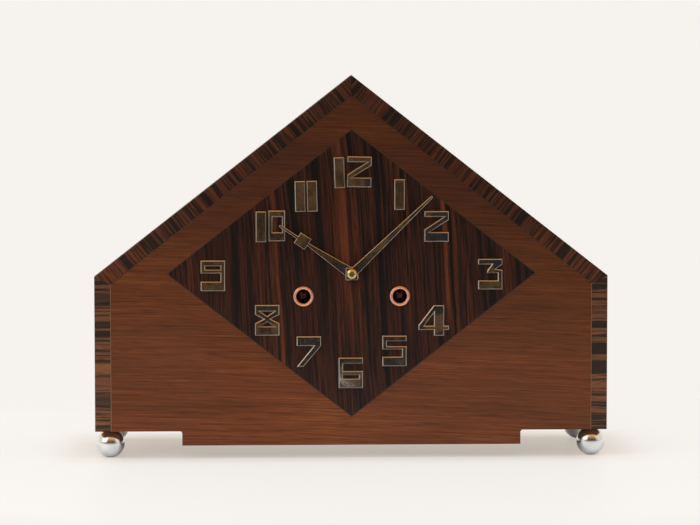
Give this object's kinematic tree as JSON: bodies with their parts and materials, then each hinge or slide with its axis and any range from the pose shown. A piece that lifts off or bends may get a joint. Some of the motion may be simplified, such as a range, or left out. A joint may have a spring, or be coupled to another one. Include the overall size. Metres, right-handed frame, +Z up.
{
  "type": "art deco mantel clock",
  "caption": "Gabled art deco mantel clock on ball feet, with a diamond dial, applied chrome numerals, striking pendulum movement, rod gong and a hinged back door.",
  "frame": {"origin": "on the table under the middle of the whole clock", "axes": "+X to the right of the dial and along the longest extent, +Y from the dial to the back door, +Z up; the dial faces -Y"},
  "size_m": [0.41, 0.15, 0.3062],
  "materials": {
    "carcase_wood": "stained, satin",
    "mahogany": "polished veneer",
    "macassar": "polished veneer",
    "chrome": "mirror polish",
    "brass": "satin",
    "copper": "polished copper",
    "steel": "fine brushed",
    "iron": "blacked"
  },
  "bodies": {
    "case": {"front_panel": "carcase_wood", "field_veneer": "mahogany", "dial_diamond": "macassar", "banding": "macassar", "base_board": "carcase_wood", "side_right": "mahogany", "side_left": "mahogany", "roof_right": "mahogany", "roof_left": "mahogany", "back_frame": "mahogany", "upper_hinge_case_leaf": "brass", "lower_hinge_case_leaf": "brass", "foot_front_left": "chrome", "foot_front_right": "chrome", "foot_rear_left": "chrome", "foot_rear_right": "chrome", "numeral_12_one": "chrome", "numeral_12_two": "chrome", "numeral_1": "chrome", "numeral_2": "chrome", "numeral_3": "chrome", "numeral_4": "chrome", "numeral_5": "chrome", "numeral_6": "chrome", "numeral_7": "chrome", "numeral_8": "chrome", "numeral_9": "chrome", "numeral_10_one": "chrome", "numeral_10_zero": "chrome", "numeral_11_left": "chrome", "numeral_11_right": "chrome", "grommet_left": "copper", "grommet_right": "copper", "front_plate": "brass", "back_plate": "brass", "gong": "iron"},
    "door": {"back_door": "mahogany", "upper_hinge_door_leaf": "brass", "lower_hinge_door_leaf": "brass"},
    "catch": {"door_catch": "brass"},
    "minute_hand": {"centre_arbor": "brass", "minute_hand": "chrome", "hand_nut": "brass"},
    "hour_hand": {"hour_wheel": "brass", "hour_hand": "chrome"},
    "minute_wheel": {"minute_wheel": "brass"},
    "going_second_wheel": {"going_second_wheel": "brass"},
    "going_barrel": {"going_barrel": "brass"},
    "third_wheel": {"third_wheel": "brass"},
    "escape_wheel": {"escape_wheel": "brass"},
    "anchor": {"anchor": "steel"},
    "pendulum": {"pendulum": "brass"},
    "going_winding_arbor": {"going_winding_arbor": "steel"},
    "strike_winding_arbor": {"strike_winding_arbor": "steel"},
    "strike_barrel": {"strike_barrel": "brass"},
    "strike_second_wheel": {"strike_second_wheel": "brass"},
    "strike_third_wheel": {"strike_third_wheel": "brass"},
    "fly": {"fly": "brass"},
    "hammers": {"hammers": "steel"}
  },
  "joints": [
    {"name": "back_door_hinge", "type": "hinge", "parent": "case", "child": "door", "pos_m": [0.11275, 0.06615, 0.11197], "axis": [0, 0, -1], "range_deg": [0, 160]},
    {"name": "door_catch_turn", "type": "hinge", "parent": "door", "child": "catch", "pos_m": [-0.103, 0.06, 0.11201], "axis": [0, 1, 0], "range_deg": [0, 90]},
    {"name": "minute_hand_turn", "type": "hinge", "parent": "case", "child": "minute_hand", "pos_m": [0, 0, 0.14821], "axis": [0, 1, 0], "continuous": true},
    {"name": "hour_hand_turn", "type": "hinge", "parent": "case", "child": "hour_hand", "pos_m": [0, 0, 0.14821], "axis": [0, 1, 0], "continuous": true},
    {"name": "minute_wheel_turn", "type": "hinge", "parent": "case", "child": "minute_wheel", "pos_m": [0.01212, 0, 0.15521], "axis": [0, 1, 0], "continuous": true},
    {"name": "going_second_wheel_turn", "type": "hinge", "parent": "case", "child": "going_second_wheel", "pos_m": [0.00731, 0, 0.12916], "axis": [0, 1, 0], "continuous": true},
    {"name": "going_barrel_turn", "type": "hinge", "parent": "case", "child": "going_barrel", "pos_m": [0.0385, 0, 0.12991], "axis": [0, 1, 0], "continuous": true},
    {"name": "third_wheel_turn", "type": "hinge", "parent": "case", "child": "third_wheel", "pos_m": [0.00975, 0, 0.16509], "axis": [0, 1, 0], "continuous": true},
    {"name": "escape_wheel_turn", "type": "hinge", "parent": "case", "child": "escape_wheel", "pos_m": [0, 0, 0.17841], "axis": [0, 1, 0], "continuous": true},
    {"name": "pendulum_swing", "type": "hinge", "parent": "case", "child": "pendulum", "pos_m": [0, 0, 0.19396], "axis": [0, 1, 0], "range_deg": [-4, 4]},
    {"name": "anchor_rock", "type": "hinge", "parent": "case", "child": "anchor", "pos_m": [0, 0, 0.19396], "axis": [0, 1, 0], "range_deg": [-4, 4]},
    {"name": "going_winding_turn", "type": "hinge", "parent": "case", "child": "going_winding_arbor", "pos_m": [0.0385, 0, 0.12991], "axis": [0, 1, 0], "continuous": true},
    {"name": "strike_winding_turn", "type": "hinge", "parent": "case", "child": "strike_winding_arbor", "pos_m": [-0.0385, 0, 0.12991], "axis": [0, 1, 0], "continuous": true},
    {"name": "strike_barrel_turn", "type": "hinge", "parent": "case", "child": "strike_barrel", "pos_m": [-0.0385, 0, 0.12991], "axis": [0, 1, 0], "continuous": true},
    {"name": "strike_second_wheel_turn", "type": "hinge", "parent": "case", "child": "strike_second_wheel", "pos_m": [-0.01929, 0, 0.15449], "axis": [0, 1, 0], "continuous": true},
    {"name": "strike_third_wheel_turn", "type": "hinge", "parent": "case", "child": "strike_third_wheel", "pos_m": [-0.02283, 0, 0.17458], "axis": [0, 1, 0], "continuous": true},
    {"name": "fly_turn", "type": "hinge", "parent": "case", "child": "fly", "pos_m": [-0.03686, 0, 0.18268], "axis": [0, 1, 0], "continuous": true},
    {"name": "hammer_lift", "type": "hinge", "parent": "case", "child": "hammers", "pos_m": [-0.0385, 0, 0.09721], "axis": [0, 1, 0], "range_deg": [0, 15]}
  ],
  "couplings": [
    {"joint": "hour_hand_turn", "follows": "minute_hand_turn", "ratio": 0.083333},
    {"joint": "minute_wheel_turn", "follows": "minute_hand_turn", "ratio": -0.33333},
    {"joint": "going_second_wheel_turn", "follows": "minute_hand_turn", "ratio": -0.2},
    {"joint": "going_barrel_turn", "follows": "minute_hand_turn", "ratio": 0.04},
    {"joint": "third_wheel_turn", "follows": "minute_hand_turn", "ratio": -12},
    {"joint": "escape_wheel_turn", "follows": "minute_hand_turn", "ratio": 120},
    {"joint": "anchor_rock", "follows": "pendulum_swing", "ratio": 1},
    {"joint": "strike_second_wheel_turn", "follows": "strike_barrel_turn", "ratio": -5},
    {"joint": "strike_third_wheel_turn", "follows": "strike_barrel_turn", "ratio": 25},
    {"joint": "fly_turn", "follows": "strike_barrel_turn", "ratio": -200}
  ]
}
